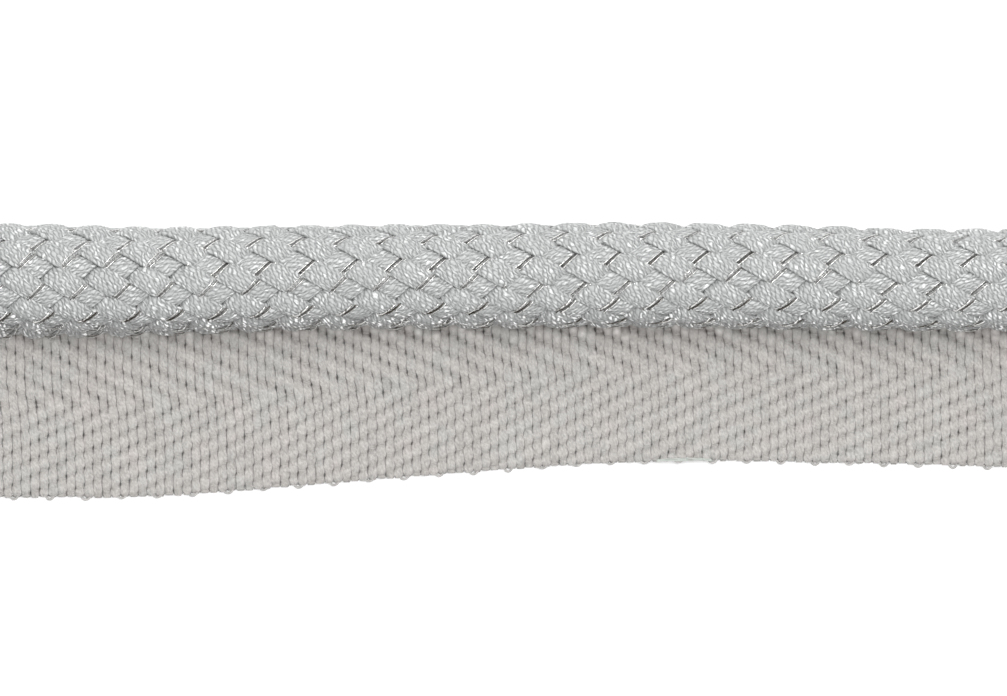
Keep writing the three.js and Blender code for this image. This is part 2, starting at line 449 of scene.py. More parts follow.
FOIL_REFLECTED_DARK = (0.45, 0.8)  # painted dark reflection of its turned-away places, high and low on the cord
FOIL_LIGHT = ((0.80, 0.80, 0.78, 1), (0.95, 0.95, 0.94, 1))
FOIL_DARK_REFLECTION = (0.09, 0.075, 0.06, 1)
FOIL_CRINKLE = 0.003
FOIL_PATCH_SCALE = 260.0  # for each metre, of the patches of painted dark reflection on the thread that has them
FOIL_PATCH = (0.3, 0.9)
FOIL_ROUGHNESS = (0.12, 0.28)


def foil_material():
    n = Nodes("foil_thread")
    along, across, strand = n.read()
    dark_reflecting, _, low = n.read("lie")
    crinkle = n.noise(n.vector(n.product(along, 2.4), across, strand), 1.0, 2.0)
    n.bump(crinkle, FOIL_CRINKLE)
    colour = n.blend(crinkle, *FOIL_LIGHT)
    # Painted dark reflections where the thread is turned away from the light, more low on the sewn
    # side, with patches on the thread that has them
    turned = n.noise(n.vector(n.product(along, 3.1), 2.0, n.product(strand, 3.0)), 1.0, 1.0)
    turned = n.span(turned, 0.52, 0.60, 0, n.span(low, 0, 1, *FOIL_REFLECTED_DARK))
    patch = n.span(n.noise(n.place(), FOIL_PATCH_SCALE, 1.0), 0.42, 0.6, *FOIL_PATCH)
    patch = n.span(low, 0, 0.4, patch, 1)
    turned = n.math("MAXIMUM", turned, n.product(dark_reflecting, patch))
    colour = n.blend(turned, colour, FOIL_DARK_REFLECTION)
    roughness = n.span(crinkle, 0.3, 0.7, *FOIL_ROUGHNESS)
    return n.finish(Base_Color=colour, Roughness=roughness, Metallic=1.0)


# Inner face of the braid, dark as painted shade where it shows between the strands, with the
# filling that shows at its cut ends
INSIDE_SHARE = 0.79  # of the way from the axis to the outside
INSIDE_SHORTER = 0.12
INSIDE_POINTS = 48
INSIDE_STEP = 1.0
INSIDE_SHADE_GREYS = (0.10, 0.24)
FILLING_YARN = 0.75
FILLING_GREYS = (0.09, 0.5)  # painted shade between its yarns, and their own colour at their middle
CUT_DEPTH = (0.05, 0.02)  # below its end faces, where the cut begins


def inside_shade_and_filling_material():
    n = Nodes("braid_inside")
    fibre = n.noise(n.place(), 2600.0, 3.0)
    colour = n.blend(fibre, *map(grey, INSIDE_SHADE_GREYS))
    yarns = n.node("ShaderNodeTexVoronoi", {"Vector": n.place(), "Scale": 1 / (FILLING_YARN * MM)})
    middle = n.span(yarns.outputs["Distance"], 0.15, 0.6, 1, 0)
    lit = n.product(middle, n.span(fibre, 0.3, 0.6, 0.6, 1))
    filling = n.blend(lit, *map(grey, FILLING_GREYS))
    reach = (HALF_LENGTH - INSIDE_SHORTER) * MM
    deep, shallow = (reach - depth * MM for depth in CUT_DEPTH)
    x, _, _ = n.split(n.place())
    cut = n.span(n.math("ABSOLUTE", x), deep, shallow, 0, 1)
    n.bump(n.total(n.product(middle, cut), fibre), 0.15)
    return n.finish(Base_Color=n.blend(cut, colour, filling), Roughness=0.9)


# Yarns of the tape. Beside the cord, some short stretches of them get painted light, as if they
# stood up, or painted shade, as if they sank in.
CLOTH_LIGHT = grey(0.495, 0.035)
CLOTH_DARK = grey(0.245, 0.04)
CLOTH_RELIEF = 0.07
FIBRE_LEAN = (1.6, 0.9)  # across the yarn, and along it for each mm
STREAK_SHARE = 0.8
TONE_SHARE = 0.12
CLOTH_SHADE = (0.07, 0.06, 0.052, 1)
CLOTH_TINTS = ((1.04, 0.985, 0.975, 1), (0.96, 1.005, 1.0, 1))
# Painted shade in the slits, round the dips and at the yarns' sides, with more of it beside the
# cord
SLIT_DARKNESS = 0.75
DIP_DARKNESS = (0.13, 0.38)  # away from the cord, and beside it
SIDE_DARKNESS = 0.05
BY_CORD_DARKNESS = 0.15  # added to that beside the cord
# Painted light: beside the cord the yarns' tones are drawn towards the light one
BY_CORD_PAINTED_LIGHT = 0.5
LOOSE_LENGTH = 0.8  # of the stretches with painted light or shade
LOOSE_HIGHLIGHT = (0.74, 0.72, 0.7, 1)
LOOSE_SHADE = 0.6


def painted_loose_stretches(n, along, across, seed, by_cord):
    """How much painted light a point gets where its stretch looks raised, and how much painted
    shade where it looks sunk in.
    """
    stitch = n.total(n.math("DIVIDE", along, LOOSE_LENGTH), n.chance(seed, 1.0, 2.0))
    loose = n.chance(n.math("FLOOR", stitch), seed, 7.0)
    hump = n.product(n.hump(n.math("FRACT", stitch)), by_cord)
    width = n.math("ABSOLUTE", across)
    raised = n.product(n.span(loose, 0.4, 0.9, 0, 1), n.span(width, 0.1, 0.75, 1, 0))
    sunk_shade = n.product(n.span(loose, 0.35, 0, 0, LOOSE_SHADE), n.span(width, 0, 0.9, 0.3, 1))
    return n.product(hump, raised), n.product(hump, sunk_shade)


def cloth_material():
    n = Nodes("tape_yarn")
    along, across, seed = n.read()
    slit, dip, by_cord = n.read("lie")
    leaning = n.total(*map(n.product, (across, along), FIBRE_LEAN))
    streak = n.noise(n.vector(n.product(along, 2.0), leaning, seed), 1.7, 3.0, 0.65)
    n.bump(streak, CLOTH_RELIEF)

    # Tones of the yarns
    cell = n.noise(n.vector(n.product(along, 0.8), n.product(seed, 3.1), 3.0), 1.0)
    tone = n.noise(n.vector(n.product(along, 0.2), seed, 3.0), 1.0, 2.0)
    shade = n.total(n.product(streak, STREAK_SHARE), n.product(tone, TONE_SHARE))
    shade = n.total(shade, n.product(cell, TONE_SHARE))
    plain = n.blend(n.span(shade, 0.35, 0.72, 0, 1), CLOTH_DARK, CLOTH_LIGHT)
    # Painted light beside the cord
    plain = n.blend(n.product(by_cord, BY_CORD_PAINTED_LIGHT), plain, CLOTH_LIGHT)
    raised, sunk_shade = painted_loose_stretches(n, along, across, seed, by_cord)
    # Painted light on the stretches that look raised
    plain = n.blend(raised, plain, LOOSE_HIGHLIGHT)

    # Painted shade in the slits between them, round their dips and at their sides
    side = n.math("POWER", n.math("ABSOLUTE", across), 3.0)
    side_darkness = n.total(SIDE_DARKNESS, n.product(by_cord, BY_CORD_DARKNESS))
    deep = n.total(
        n.product(slit, SLIT_DARKNESS),
        n.product(dip, n.span(by_cord, 0, 1, *DIP_DARKNESS)),
        n.product(side, side_darkness),
        sunk_shade,
    )
    plain = n.blend(deep, plain, CLOTH_SHADE)
    tint = n.blend(n.noise(n.place(), 420.0, 2.0), *CLOTH_TINTS)
    colour = n.blend(1.0, plain, tint, "MULTIPLY")
    return n.finish(Base_Color=colour, Roughness=0.85, Sheen_Weight=0.25)


EDGE_YARN = (grey(0.40, 0.03), grey(0.30, 0.03))
TURNED_YARN = ((0.46, 0.48, 0.45, 1), (0.36, 0.385, 0.36, 1))


def edge_material(name, light, dark):
    n = Nodes(name)
    fibre = n.noise(n.place(), 3000.0, 3.0)
    n.bump(fibre, 0.05)
    colour = n.blend(n.span(fibre, 0.35, 0.65, 0, 1), dark, light)
    return n.finish(Base_Color=colour, Roughness=0.8, Sheen_Weight=0.2)


# Sheet under the yarns: dark as painted shade where it shows between them, and plain cloth at its
# cut sides and underneath
SHEET_OUTSIDE = (0.25, 0.5)  # heights between which plain cloth turns to the painted shade
SHEET_WEAVE = (0.84, 0.43)  # repeat along the tape and across it
SHEET_RELIEF = 0.12
SHEET_SHADE = (grey(0.17, 0.07), grey(0.27, 0.07))
SHEET_PLAIN = (grey(0.33, 0.04), grey(0.47, 0.04))


def sheet_material():
    n = Nodes("tape_ground")
    place = n.split(n.place())
    turns = (n.product(part, 2 * math.pi / (size * MM)) for part, size in zip(place, SHEET_WEAVE))
    weave = n.product(*(n.math("SINE", turn) for turn in turns))
    n.bump(weave, SHEET_RELIEF)
    shade = n.span(weave, -1, 1, 0, 1)
    shade_between_yarns = n.blend(shade, *SHEET_SHADE)
    outside = n.blend(shade, *SHEET_PLAIN)
    low, high = (height * MM for height in SHEET_OUTSIDE)
    colour = n.blend(n.span(place[2], low, high, 1, 0), shade_between_yarns, outside)
    return n.finish(Base_Color=colour, Roughness=0.9, Sheen_Weight=0.2)


def floor_material():
    n = Nodes("pale_floor")
    colour = n.blend(n.noise(n.place(), 3.0), grey(0.93), grey(0.95))
    return n.finish(Base_Color=colour, Roughness=0.9)


# Braided strands: flat bundles of yarns side by side

BROAD = {
    "parity": 0, "direction": -1, "yarns": 7, "half_width": 0.60, "waist": 0.08,
    "top": -0.13, "dome": 0.25, "dip": 0.90, "bulge": 0.50, "rise": (0.0, 0.66), "thickness": 0.60,
}
NARROW = {
    "parity": 1, "direction": 1, "yarns": 6, "half_width": 0.38, "waist": 0.0,
    "top": -0.30, "dome": 0.14, "dip": 0.85, "bulge": 0.26, "rise": (0.08, 0.62), "thickness": 0.55,
}
FLUSH = 0.07  # how much more a strand stands at the upper edge of one that crosses it
GAP_REACH = 0.11  # a strand gets painted shade where it stands less than this above another
GAP_FALL = 2.2  # how fast that wears off beside the other, for each spacing
# How dark the painted shade is: faint at upper edges, darker at lower edges, which face away from
# the light, and full beside the foil
GAP_SHARE = {"upper": 0.08, "lower": 0.32, "foil": 1.0}
GAP_LOW_SHARE = 0.5  # more of the rest, low on the sewn side
GAP_SPREAD = {"foil": 0.6, "low": 0.8}  # how much further it reaches there
LOW_SIDE = (30, 72)  # degrees below the cord's top, between which low begins
LOW_END = (98, 130)  # and ends
SCALLOP = 0.6  # of a float's ends, at the foot
SCALLOP_START = (60, 85)
SCALLOP_END = (120, 150)
SCALLOP_REACH = (0.2, 1.0)  # from where it lies under another strand
LIES_ABOVE = (0.5, 0.7)  # from there, where it comes above those that cross it
LOWER_EDGE = (-0.2, 0.6)  # of the way from its middle to its lower edge
FOIL_EDGE = (0.2, 0.8)  # and to the edge where the foil lies
SECTION_STEP = 0.3
POINTS_PER_YARN = 4
GROOVE = 0.08
UNDERSIDE = (0.88, 0.3, -0.3, -0.88)  # places across the strand of the points below
SIDE_THINNING = 0.3  # share of its thickness that goes at its two sides
YARN_WANDER = 0.045
YARN_LEVELS = 0.7  # share of that between yarns
YARN_SWAY = 0.5  # share of that along a yarn, in waves
YARN_WAVES = (1.9, 4.3)  # their lengths, for each radian
YARN_DRAWS = 3  # of phases; the last stays unused
STRAND_SLOPE = {-1: math.radians(31), 1: math.radians(42)}
SPREAD_RADIUS = 4.7
BRAID_SEED = 7
STRAND_MAP_ROWS = 5

SECTIONS = places_along(SECTION_STEP)


def on_strand(x, number, direction):
    """Angle of a strand at each x, and the number of the strand that crosses it there."""
    degrees = np.zeros(np.broadcast(x, number).shape)
    for _ in range(ANGLE_PASSES):
        level = x + SKEW * end_fade(x) * np.sin(np.radians(degrees))
        across = 2 * (repeats_at(level) - PHASE)
        degrees = course("turn", x) + ROW_ANGLE * (2 * number + direction * across)
    return degrees, number + direction * across


def from_under(form, total):
    """How far a strand is from the middle of where it lies under another, up to 1."""
    return np.abs(past_parity(total, form["parity"]) + FLUSH)


def strand_top(form, strand, place, crossing):
    """Height of a strand's outside: place runs from -1 to 1 across it."""
    distance = from_under(form, crossing + strand)
    up = smoothstep(distance, *form["rise"])
    crown = form["bulge"] * (1 - np.sqrt(1 - np.minimum(place * place, 1)))
    dome = form["dome"] * (1 - (1 - distance) ** 2)
    return form["top"] + dome - form["dip"] * (1 - up) - crown


def highest_crossing(other, number, crossing):
    """Height, number and nearer edge (1 or -1) of the crossing strand that lies highest."""
    near = np.round(crossing)
    highest = np.full(np.shape(crossing), -np.inf)
    edge = np.zeros(np.shape(crossing))
    found = near
    for step in (-1, 0, 1):
        strand = near + step
        across = (crossing - strand) / other["half_width"]
        beyond = np.maximum(np.abs(across) - 1, 0) * other["half_width"]
        top = strand_top(other, strand, np.clip(across, -1, 1), number) - GAP_FALL * beyond
        edge = np.where(top > highest, np.sign(across), edge)
        found = np.where(top > highest, strand, found)
        highest = np.maximum(highest, top)
    return highest, found, edge


def painted_gap_shade(form, place, height, number, crossing, x):
    """Painted shade on a strand by the line where it meets one that crosses it: more at lower
    edges, which face away from the light, beside the foil and low on the sewn side.
    """
    other = NARROW if form is BROAD else BROAD
    highest, other_strand, other_edge = highest_crossing(other, number, crossing)
    own_strand = np.round(number - place * form["half_width"])
    above = smoothstep(from_under(form, own_strand + crossing), *LIES_ABOVE)
    edge = above * np.sign(place) + (1 - above) * other_edge
    if form is BROAD:
        row = 2 * np.round((other_strand + number) / 2)
        by_narrow = 1 - above
    else:
        row = 2 * np.round((own_strand + crossing) / 2)
        by_narrow = above
    lower = smoothstep(-edge, *LOWER_EDGE)
    foil = by_narrow * smoothstep(edge * foil_side(row, x), *FOIL_EDGE)
    degrees = ROW_ANGLE * (number + crossing) + course("turn", x)
    low = smoothstep(below_top(degrees), *LOW_SIDE)
    share = GAP_SHARE["upper"] + (GAP_SHARE["lower"] - GAP_SHARE["upper"]) * lower
    share = share + (GAP_SHARE["foil"] - share) * foil
    share = share + (1 - share) * GAP_LOW_SHARE * low
    reach = GAP_REACH * (1 + GAP_SPREAD["foil"] * foil + GAP_SPREAD["low"] * low)
    return share * (1 - smoothstep(height - highest, 0, reach))


def strand_station(x, degrees, direction):
    slope = STRAND_SLOPE[direction]
    around = np.radians(degrees) * SPREAD_RADIUS
    return x * math.cos(slope) + direction * around * math.sin(slope)


def yarn_relief(across, station, yarns, draw):
    """Height of the yarns' backs over the grooves between them."""
    within = across % 1.0
    groove = 1 - np.sqrt(np.maximum(1 - (2 * within - 1) ** 2, 0))
    yarn = np.minimum(across.astype(int), yarns - 1)
    phases = draw.uniform(0, 2 * math.pi, (YARN_DRAWS, yarns))
    waves = sum(
        np.sin(station / length + phase[yarn]) for length, phase in zip(YARN_WAVES, phases)
    )
    level = draw.uniform(-1, 1, yarns)[yarn]
    uneven = YARN_WANDER * (YARN_SWAY * waves + YARN_LEVELS * level)
    return uneven * (1 - np.abs(2 * within - 1)) - GROOVE * groove


def foot_scallop(form, degrees, total):
    """How far a float's ends draw in at the foot, where the cord is sewn down."""
    at_foot = band(below_top(degrees), SCALLOP_START, SCALLOP_END)
    return SCALLOP * at_foot * (1 - smoothstep(from_under(form, total), *SCALLOP_REACH))


def strand_piece(name, form, strand, material, draw):
    direction = form["direction"]
    yarns = form["yarns"]
    top_places = np.linspace(-1, 1, yarns * POINTS_PER_YARN + 1)
    places = np.concatenate([top_places, UNDERSIDE])
    on_top = np.arange(len(places)) < len(top_places)
    x = SECTIONS[:, None]
    _, crossing = on_strand(x, float(strand), direction)
    under = 1 - smoothstep(np.abs(past_parity(crossing + strand, form["parity"])), 0, 1)
    half_width = form["half_width"] * (1 - form["waist"] * under)
    number = strand + places * half_width
    degrees, crossing = on_strand(x, number, direction)
    station = strand_station(x, degrees, direction)
    across = (places + 1) / 2 * yarns

    # Heights of the yarns' backs and of the strand's plain underside
    smooth_height = strand_top(form, strand, places, crossing)
    top = smooth_height + yarn_relief(across, station, yarns, draw)
    middle_height = strand_top(form, strand, 0 * places, crossing)
    bottom = middle_height - form["thickness"] * (1 - SIDE_THINNING * places**2)
    height = np.where(on_top, top, bottom) - foot_scallop(form, degrees, crossing + strand)
    points = cord_point(x, degrees, height)

    # What the yarn's nodes read, with the painted shade by the crossing strands and the mask for
    # painted light and shade low on the sewn side
    shade = painted_gap_shade(form, places, smooth_height, number, crossing, x)
    on_float = past_parity(crossing + strand, 1 - form["parity"])
    low = band(below_top(degrees), LOW_SIDE, LOW_END)
    thread = vectors(station, across, float(strand))
    lie = vectors(np.where(on_top, shade, 1), on_float, low)
    piece = tube_object(
        name, points[None], material, thread[None], lie[None], STRAND_MAP_ROWS,
        under=len(UNDERSIDE),
    )
    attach(piece, BODY)


def make_braid(material):
    draw = np.random.default_rng(BRAID_SEED)
    for kind, form in (("broad", BROAD), ("narrow", NARROW)):
        for strand in range(STRANDS):
            strand_piece(f"{kind}_strand_{strand}", form, strand, material, draw)


def make_inside(material):
    reach = HALF_LENGTH - INSIDE_SHORTER
    x = places_along(INSIDE_STEP, reach)[:, None]
    degrees = np.linspace(0, 360, INSIDE_POINTS, endpoint=False)[None, :]
    outside = cord_point(x, degrees, 0)
    axis = vectors(x, AXIS_Y + course("axis", x), AXIS_HEIGHT)
    points = axis + (outside - axis) * INSIDE_SHARE
    piece = tube_object("braid_inside", points[None], material)
    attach(piece, BODY)
    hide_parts("braided_cord")


# Foil: a few thin metallic threads that run with each narrow strand and lie at one of its edges.
# Each row says from where on, along one row of floats, they lie at the upper edge (1) or the
# lower one (-1). Rows of floats are numbered around the cord from its highest line.
FOIL_ROWS = (
    (2, -60.0, -1),
    (0, -60.0, 1),
    (0, -29.5, -1),
    (-2, -60.0, 1),
    (-2, 0.4, -1),
    (-2, 16.8, 1),
    (-2, 34.0, -1),
    (-4, -60.0, 1),
)
# For each foil thread, its place across the bundle, its half width and whether it gets patches of
# painted dark reflection
FOIL_THREADS = ((-0.075, 0.075, 0), (-0.01, 0.05, 1), (0.065, 0.075, 0))
FOIL_PLACE = 0.41  # of the bundle, from the middle of its strand
FOIL_LOW_SPREAD = 0.9  # how much wider the bundle lies low on the sewn side
FOIL_LOW_END = (84, 108)  # degrees between which it draws in again, towards the foot
FOIL_HALF_THICKNESS = 0.022
FOIL_PROUD = 0.05
FOIL_RISE = (0.3, 0.62)  # from where its strand lies under another, between which it comes up
FOIL_CHANGE = (0.7, 1.3)  # between two floats, where it changes its edge
FOIL_TILT = 28.0  # how far a thread tips to either side as it twists
FOIL_TWIST = 1.1  # along the thread, for each radian of that
FOIL_PHASE = (1.9, 2.3)  # from strand to strand, and from thread to thread
FOIL_STEP = 0.25
FOIL_SECTION = 4


def foil_side(row, x):
    """Side on which the foil lies at a row's float."""
    row = (row + STRANDS) % (2 * STRANDS) - STRANDS
    side = np.where(row > 0, -1.0, 1.0)
    for known_row, start, known_side in FOIL_ROWS:
        side = np.where((row == known_row) & (x >= start), known_side, side)
    return side


def skin_height(number, crossing):
    """Height of the braid's outside where a narrow strand's number meets a broad one's."""
    narrow = np.round(number)
    broad = np.round(crossing)
    narrow_place = np.clip((number - narrow) / NARROW["half_width"], -1, 1)
    broad_place = np.clip((crossing - broad) / BROAD["half_width"], -1, 1)
    narrow_top = strand_top(NARROW, narrow, narrow_place, crossing)
    broad_top = strand_top(BROAD, broad, broad_place, number)
    return np.maximum(narrow_top, broad_top)


def foil_path(strand, offset, x):
    """Angle, height and station of a foil thread, which goes under with its strand."""
    _, crossing = on_strand(x, float(strand), 1)
    float_before = np.floor((crossing + strand) / 2) * 2 - strand
    share = smoothstep(crossing - float_before, *FOIL_CHANGE)
    side_before = foil_side(float_before + strand, x)
    side_after = foil_side(float_before + 2 + strand, x)
    side = side_before + (side_after - side_before) * share
    number = strand + side * FOIL_PLACE + offset
    degrees, crossing = on_strand(x, number, 1)
    under = 1 - smoothstep(from_under(NARROW, crossing + strand), *FOIL_RISE)
    low = strand_top(NARROW, strand, 0 * x, crossing) - FOIL_PROUD
    high = skin_height(number, crossing) + FOIL_PROUD
    return degrees, high + (low - high) * under, strand_station(x, degrees, 1)


def foil_thread(strand, number, x):
    """Rings of one foil thread, and what its nodes read at them."""
    offset, half_width, dark_reflecting = FOIL_THREADS[number]
    turns = turns_round(FOIL_SECTION)
    round_cord = below_top(on_strand(x, float(strand), 1)[0])
    low = smoothstep(round_cord, *LOW_SIDE)
    spread = 1 + FOIL_LOW_SPREAD * low * (1 - smoothstep(round_cord, *FOIL_LOW_END))
    degrees, height, station = foil_path(strand, offset * spread, x)
    phase = strand * FOIL_PHASE[0] + number * FOIL_PHASE[1]
    tilt = np.radians(FOIL_TILT) * np.sin(station / FOIL_TWIST + phase)[:, None]
    flat = half_width * spread[:, None] * np.cos(turns)
    thick = FOIL_HALF_THICKNESS * np.sin(turns)
    wide = np.degrees((flat * np.cos(tilt) - thick * np.sin(tilt)) / SPREAD_RADIUS)
    tall = flat * np.sin(tilt) + thick * np.cos(tilt)
    ring = cord_point(x[:, None], degrees[:, None] - wide, height[:, None] + tall)
    thread = vectors(station[:, None], turns, strand * 10.0 + number)
    lie = vectors(float(dark_reflecting), 0.0, low[:, None] + 0 * turns)
    return ring, thread, lie


def make_foil(material):
    x = places_along(FOIL_STEP)
    numbers = range(len(FOIL_THREADS))
    threads = [foil_thread(strand, k, x) for strand in range(STRANDS) for k in numbers]
    rings, thread, lie = (np.array(values) for values in zip(*threads))
    piece = tube_object("foil_threads", rings, material, thread, lie)
    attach(piece, BODY)


# Tape: a twill of four. Its yarns run across and cover it: each passes over three warp yarns,
# which run along it, and under one. The slant turns over along one line.
TURN_LINE = 8.8  # from the free edge
LOWER_WARP = 0.39  # from one warp yarn to the next, below that line
UPPER_WARP = 0.475
TWILL_REPEAT = 4
COLUMN_PITCH_X = (-55.0, -12.0, 10.0, 45.0)
COLUMN_PITCH = (0.865, 0.836, 0.808, 0.827)  # from one yarn across the tape to the next
COLUMN_LEAN_X = (-55.0, 5.0, 30.0)
COLUMN_LEAN = (0.30, 0.32, 0.12)  # sideways shift of a column at the line where the slant turns
COLUMN_LEAN_REACH = 2.5
CROSS_STEP = 0.16
CROSS_HALF_WIDTH = 0.50
CROSS_HALF_THICKNESS = 0.105
CROSS_CROWN = 0.07
CROSS_DIP = 0.06
CROSS_DIP_REACH = 1.0  # of the way from one warp yarn to the next
# Reach of the painted shade round a dip
CROSS_DARK_REACH = 1.6
CROSS_SLIT = 0.15  # share that its side draws in, between its dip and the next one's
CROSS_SLIT_REACH = 0.75
CROSS_SECTION = ((-1.0, 0.25), (-0.7, 0.8), (0.0, 1.0), (0.7, 0.8), (1.0, 0.25), (0.0, -1.0))
CROSS_LEVELS = (-0.015, 0.015)
CROSS_SWAY = ((0.02, 1.3), (0.012, 0.31))  # sizes and lengths of its waves, sideways
CROSS_SWELL = ((0.06, 0.27), (0.06, 0.6))  # and of its width's, as a share of that
CROSS_REACH = (-0.09, 0.05)  # of the yarns' turns at the free edge
CROSS_REACH_FADE = 1.0
CROSS_END_SHARE = 0.6  # of their width and thickness at that edge
CROSS_END_DROP = 0.25
BY_CORD = (1.2, 3.2)  # beside the cord, where the yarns stand more apart and get more painted light and shade
TONE_STEPS = {"column": 1.7, "warp": 2.3}  # from yarn to yarn, in the noises
SMALL_SECTION = 6
EDGE_ROUNDING = 0.35
EDGE_THINNING = 0.6
TAPE_SEED = 11

# What shows of a warp yarn where it passes over one yarn: a row for each section
FLOAT_PLACE = (-0.86, -0.55, 0.0, 0.55, 0.86)  # along it, in half widths of the yarn it crosses
FLOAT_DROP = (0.12, 0.02, 0.0, 0.02, 0.12)
FLOAT_SHARE = (0.6, 0.95, 1.0, 0.95, 0.6)  # of its half width
FLOAT_HALF_WIDTH = 0.52  # of the way from one warp yarn to the next
FLOAT_HALF_THICKNESS = 0.06
FLOAT_HEIGHT = 0.84
FLOAT_MARGIN = 0.2  # from both edges of the tape
FLOAT_MAP_COLUMNS = 40
GROUND_TOP = 0.66


def free_edge(x):
    return AXIS_Y + course("edge", x)


def edge_lift(x, from_edge):
    along = 1 - smoothstep(np.abs(x - TURNED_EDGE_X), 0, TURNED_EDGE_HALF)
    share = from_edge / (TAPE_TOP_EDGE - free_edge(x))
    return TURNED_EDGE_LIFT * along * (1 - smoothstep(share, 0, TURNED_EDGE_DEPTH))


def tape_thinning(from_edge):
    thinner = TAPE_THICKNESS - TAPE_EDGE_THICKNESS
    return thinner * (1 - smoothstep(from_edge, 0, EDGE_THINNING))


def warp_pitch(past_line):
    return np.where(past_line < 0, LOWER_WARP, UPPER_WARP)


def warp_number(from_edge):
    return (from_edge - TURN_LINE) / warp_pitch(from_edge - TURN_LINE)


def column_places():
    places = [-HALF_LENGTH + CROSS_HALF_WIDTH]
    while places[-1] < HALF_LENGTH:
        places.append(places[-1] + np.interp(places[-1], COLUMN_PITCH_X, COLUMN_PITCH))
    return np.array([p for p in places if p <= HALF_LENGTH - CROSS_HALF_WIDTH])


def leaned(x, from_edge):
    """Place of a column along the tape, which leans where the slant turns over."""
    lean = np.interp(x, COLUMN_LEAN_X, COLUMN_LEAN)
    return x - lean * end_fade(x) * np.tanh((from_edge - TURN_LINE) / COLUMN_LEAN_REACH)


def slant(column, warp):
    """A count that is a whole number of repeats where the warp yarn lies over the column."""
    return warp + np.where(warp < 0, -column, column)


def wave(value, reach):
    """One where the value is none, falling smoothly to none at the reach."""
    return 0.5 + 0.5 * np.cos(math.pi * np.clip(value / reach, -1, 1))


def swayings(from_edge, sizes, phases):
    return sum(
        size * np.sin(from_edge / length + phase) for (size, length), phase in zip(sizes, phases)
    )


def cross_rings(columns, draw):
    """The yarns across the tape, from its free edge to the one under the cord."""
    x = column_places()[columns][:, None]
    column = columns[:, None]
    deepest = TAPE_TUCK - COURSE["edge"].min()
    share = np.linspace(0, 1, round(deepest / CROSS_STEP) + 1)[None, :]
    from_edge = share * (TAPE_TOP_EDGE - free_edge(x))
    x = leaned(x, from_edge)
    warp = warp_number(from_edge)
    count = slant(column, warp)
    from_dip = count - TWILL_REPEAT * np.round(count / TWILL_REPEAT)
    end = smoothstep(from_edge, 0, EDGE_ROUNDING)
    level = draw.uniform(*CROSS_LEVELS, column.shape)
    phases = draw.uniform(0, 2 * math.pi, (4, *column.shape))
    x = x + swayings(from_edge, CROSS_SWAY, phases[:2])
    swell = swayings(from_edge, CROSS_SWELL, phases[2:])
    near_edge = 1 - smoothstep(from_edge, 0, CROSS_REACH_FADE)
    reach = draw.uniform(*CROSS_REACH, column.shape) * near_edge

    # Height of the yarn's middle, and how thick it is
    crown = CROSS_CROWN * (1 - np.cos(math.pi * from_dip / 2)) / 2
    top = TAPE_THICKNESS - CROSS_CROWN - tape_thinning(from_edge) + crown + level
    end_share = CROSS_END_SHARE + (1 - CROSS_END_SHARE) * end
    thick = CROSS_HALF_THICKNESS * end_share
    dip = CROSS_DIP * wave(from_dip, CROSS_DIP_REACH) * end
    middle = top - thick - dip - CROSS_END_DROP * (1 - end) + edge_lift(x, from_edge)

    # Its sections, drawn in at the slits
    section = np.array(CROSS_SECTION)
    toward = np.where(warp < 0, 0.5, -0.5)
    gap = from_dip[..., None] - np.sign(section[:, 0]) * toward[..., None]
    half_width = CROSS_HALF_WIDTH * ((1 + swell) * end_share)[..., None]
    half_width = half_width * (1 - CROSS_SLIT * wave(gap, CROSS_SLIT_REACH))
    ring_x = x[..., None] + half_width * section[:, 0]
    ring_y = (free_edge(x) + from_edge + reach)[..., None] + 0 * ring_x
    ring_z = middle[..., None] + thick[..., None] * section[:, 1]

    # What the yarn's nodes read: the painted shade in its slits and round its dips, and how near it
    # lies to the cord
    slit = wave(gap, CROSS_SLIT_REACH) * section[:, 0] ** 4
    dark = wave(from_dip, CROSS_DARK_REACH)[..., None]
    thread = vectors(from_edge[..., None], section[:, 0], column[..., None] * TONE_STEPS["column"])
    lie = vectors(slit, dark, smoothstep(ring_y, *BY_CORD))
    return vectors(ring_x, ring_y, ring_z), thread, lie


def make_cross_yarns(material):
    draw = np.random.default_rng(TAPE_SEED)
    columns = np.arange(len(column_places()))
    for number, part in enumerate(np.array_split(columns, 2)):
        rings, thread, lie = cross_rings(part, draw)
        piece = tube_object(f"tape_cross_yarns_{number}", rings, material, thread, lie)
        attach(piece, BODY)


def make_floats(material):
    """The short stretches of the warp yarns that show."""
    places = column_places()
    widest = TAPE_TUCK - COURSE["edge"].min()
    first = math.ceil(warp_number(FLOAT_MARGIN))
    warps = np.arange(first, math.floor(warp_number(widest)) + 1)
    column, warp = (found.ravel() for found in np.meshgrid(np.arange(len(places)), warps))
    x = places[column]
    from_edge = TURN_LINE + warp * warp_pitch(warp)
    inside = free_edge(x) + from_edge < TAPE_TOP_EDGE - FLOAT_MARGIN
    shows = (slant(column, warp) % TWILL_REPEAT == 0) & inside
    warp, x, from_edge = (values[shows][:, None, None] for values in (warp, x, from_edge))
    place, drop, share = (
        np.array(row)[None, :, None] for row in (FLOAT_PLACE, FLOAT_DROP, FLOAT_SHARE)
    )
    turns = turns_round(SMALL_SECTION)
    middle = leaned(x, from_edge)
    ring_x = middle + place * CROSS_HALF_WIDTH
    half_width = FLOAT_HALF_WIDTH * warp_pitch(warp) * share
    ring_y = free_edge(middle) + from_edge + half_width * np.cos(turns)
    height = FLOAT_HEIGHT - tape_thinning(from_edge) + edge_lift(middle, from_edge) - drop
    rings = vectors(ring_x, ring_y, height + FLOAT_HALF_THICKNESS * np.sin(turns))
    thread = vectors(ring_x, np.cos(turns), warp * TONE_STEPS["warp"])
    # The floats get the full painted shade of a dip
    lie = np.array([0.0, 1.0, 0.0])
    piece = tube_object("tape_floats", rings, material, thread, lie, map_columns=FLOAT_MAP_COLUMNS)
    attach(piece, BODY)


